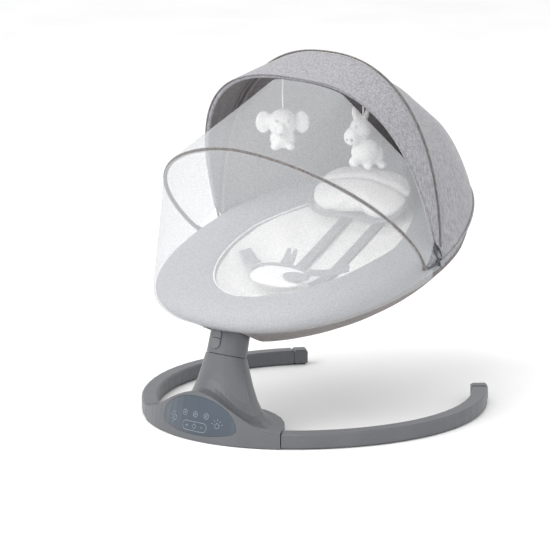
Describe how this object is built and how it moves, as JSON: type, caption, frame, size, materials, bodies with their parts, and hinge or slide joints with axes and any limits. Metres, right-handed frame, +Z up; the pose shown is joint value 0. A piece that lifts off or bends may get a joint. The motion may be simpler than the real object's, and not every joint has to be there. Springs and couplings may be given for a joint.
{
  "type": "baby swing",
  "caption": "Powered baby swing: C-shaped floor base with a control pod, and a tilted cradle seat with harness, folding hood, insect net and hanging plush toys.",
  "frame": {"origin": "on the floor, under the middle of the bounding box", "axes": "+Z up, -Y towards the control panel and the foot end, +X towards the left arm of the base"},
  "size_m": [0.583, 0.6676, 0.6106],
  "materials": {
    "base_plastic": "satin moulded",
    "dark_plastic": "matt moulded",
    "panel_gloss": "polished",
    "foot_rubber": "matt",
    "tube_aluminium": "drawn tube",
    "steel": "turned",
    "coil_copper": "enamelled winding",
    "circuit_board": "solder mask",
    "heather_fabric": "melange knit",
    "underside_fabric": "plain weave",
    "liner_fabric": "soft knit",
    "strap_webbing": "webbing",
    "net_mesh": "fine see-through net",
    "toy_plush": "short pile"
  },
  "bodies": {
    "base": {"base_shell": "base_plastic", "control_panel": "panel_gloss", "bottom_cover": "dark_plastic", "dc_inlet": "dark_plastic", "battery_box": "dark_plastic", "battery_door": "dark_plastic", "shaft_housing": "dark_plastic", "lower_bearing": "steel", "upper_bearing": "steel", "control_board": "circuit_board", "speaker": "dark_plastic", "drive_coil": "coil_copper", "arm_left": "base_plastic", "arm_cap_left": "dark_plastic", "foot_front_left": "foot_rubber", "foot_side_left": "foot_rubber", "foot_rear_left": "foot_rubber", "arm_right": "base_plastic", "arm_cap_right": "dark_plastic", "foot_front_right": "foot_rubber", "foot_side_right": "foot_rubber", "foot_rear_right": "foot_rubber"},
    "rotor": {"swing_shaft": "steel", "magnet_arm": "dark_plastic"},
    "seat": {"neck_collar": "base_plastic", "seat_bracket": "dark_plastic", "rim_tube_front": "tube_aluminium", "rim_tube_rear": "tube_aluminium", "rim_cover": "heather_fabric", "seat_sling": "underside_fabric", "seat_liner": "liner_fabric", "headrest": "liner_fabric", "crotch_pad": "liner_fabric", "buckle": "dark_plastic", "button_spring": "steel", "hub_left": "dark_plastic", "hub_pin_left": "steel", "strut_left": "tube_aluminium", "strut_clamp_left": "dark_plastic", "shoulder_strap_left": "strap_webbing", "waist_pad_left": "liner_fabric", "hub_right": "dark_plastic", "hub_pin_right": "steel", "strut_right": "tube_aluminium", "strut_clamp_right": "dark_plastic", "shoulder_strap_right": "strap_webbing", "waist_pad_right": "liner_fabric"},
    "button": {"release_button": "dark_plastic"},
    "mid_bow": {"mid_bow": "dark_plastic", "hood_rear": "heather_fabric"},
    "front_bow": {"front_bow": "dark_plastic", "hood_front": "heather_fabric"},
    "net_bow": {"net_bow": "dark_plastic", "net_upper": "net_mesh", "net_skirt": "net_mesh"},
    "elephant": {"elephant_toy": "toy_plush", "elephant_ribbon": "strap_webbing"},
    "donkey": {"donkey_toy": "toy_plush", "donkey_ribbon": "strap_webbing"}
  },
  "joints": [
    {"name": "seat_swing", "type": "hinge", "parent": "base", "child": "rotor", "pos_m": [0, -0.2487, 0.13], "axis": [0, 0.2756, 0.9613], "range_deg": [-15, 15]},
    {"name": "seat_lift", "type": "slide", "parent": "rotor", "child": "seat", "axis": [0, 0.2756, 0.9613], "range_m": [0, 0.055]},
    {"name": "release_press", "type": "slide", "parent": "seat", "child": "button", "axis": [0, 0.9613, -0.2756], "range_m": [0, 0.004], "stiffness_N_per_m": 400, "springref_m": -0.003, "deforming": ["button_spring"]},
    {"name": "canopy_fold", "type": "hinge", "parent": "seat", "child": "mid_bow", "pos_m": [0, 0.01461, 0.27911], "axis": [-1, 0, 0], "range_deg": [0, 25], "deforming": ["hood_rear"]},
    {"name": "brim_fold", "type": "hinge", "parent": "mid_bow", "child": "front_bow", "pos_m": [0, 0.01461, 0.27911], "axis": [-1, 0, 0], "range_deg": [0, 10], "deforming": ["hood_front"]},
    {"name": "net_fold", "type": "hinge", "parent": "front_bow", "child": "net_bow", "pos_m": [0, 0.01461, 0.27911], "axis": [-1, 0, 0], "range_deg": [0, 22], "deforming": ["net_upper", "net_skirt"]},
    {"name": "elephant_swing", "type": "hinge", "parent": "mid_bow", "child": "elephant", "pos_m": [-0.098, 0.01461, 0.57541], "axis": [1, 0, 0], "range_deg": [-15, 15]},
    {"name": "donkey_swing", "type": "hinge", "parent": "mid_bow", "child": "donkey", "pos_m": [0.079, 0.01461, 0.58853], "axis": [1, 0, 0], "range_deg": [-15, 15]}
  ],
  "couplings": [
    {"joint": "brim_fold", "follows": "canopy_fold", "ratio": 0.4}
  ]
}
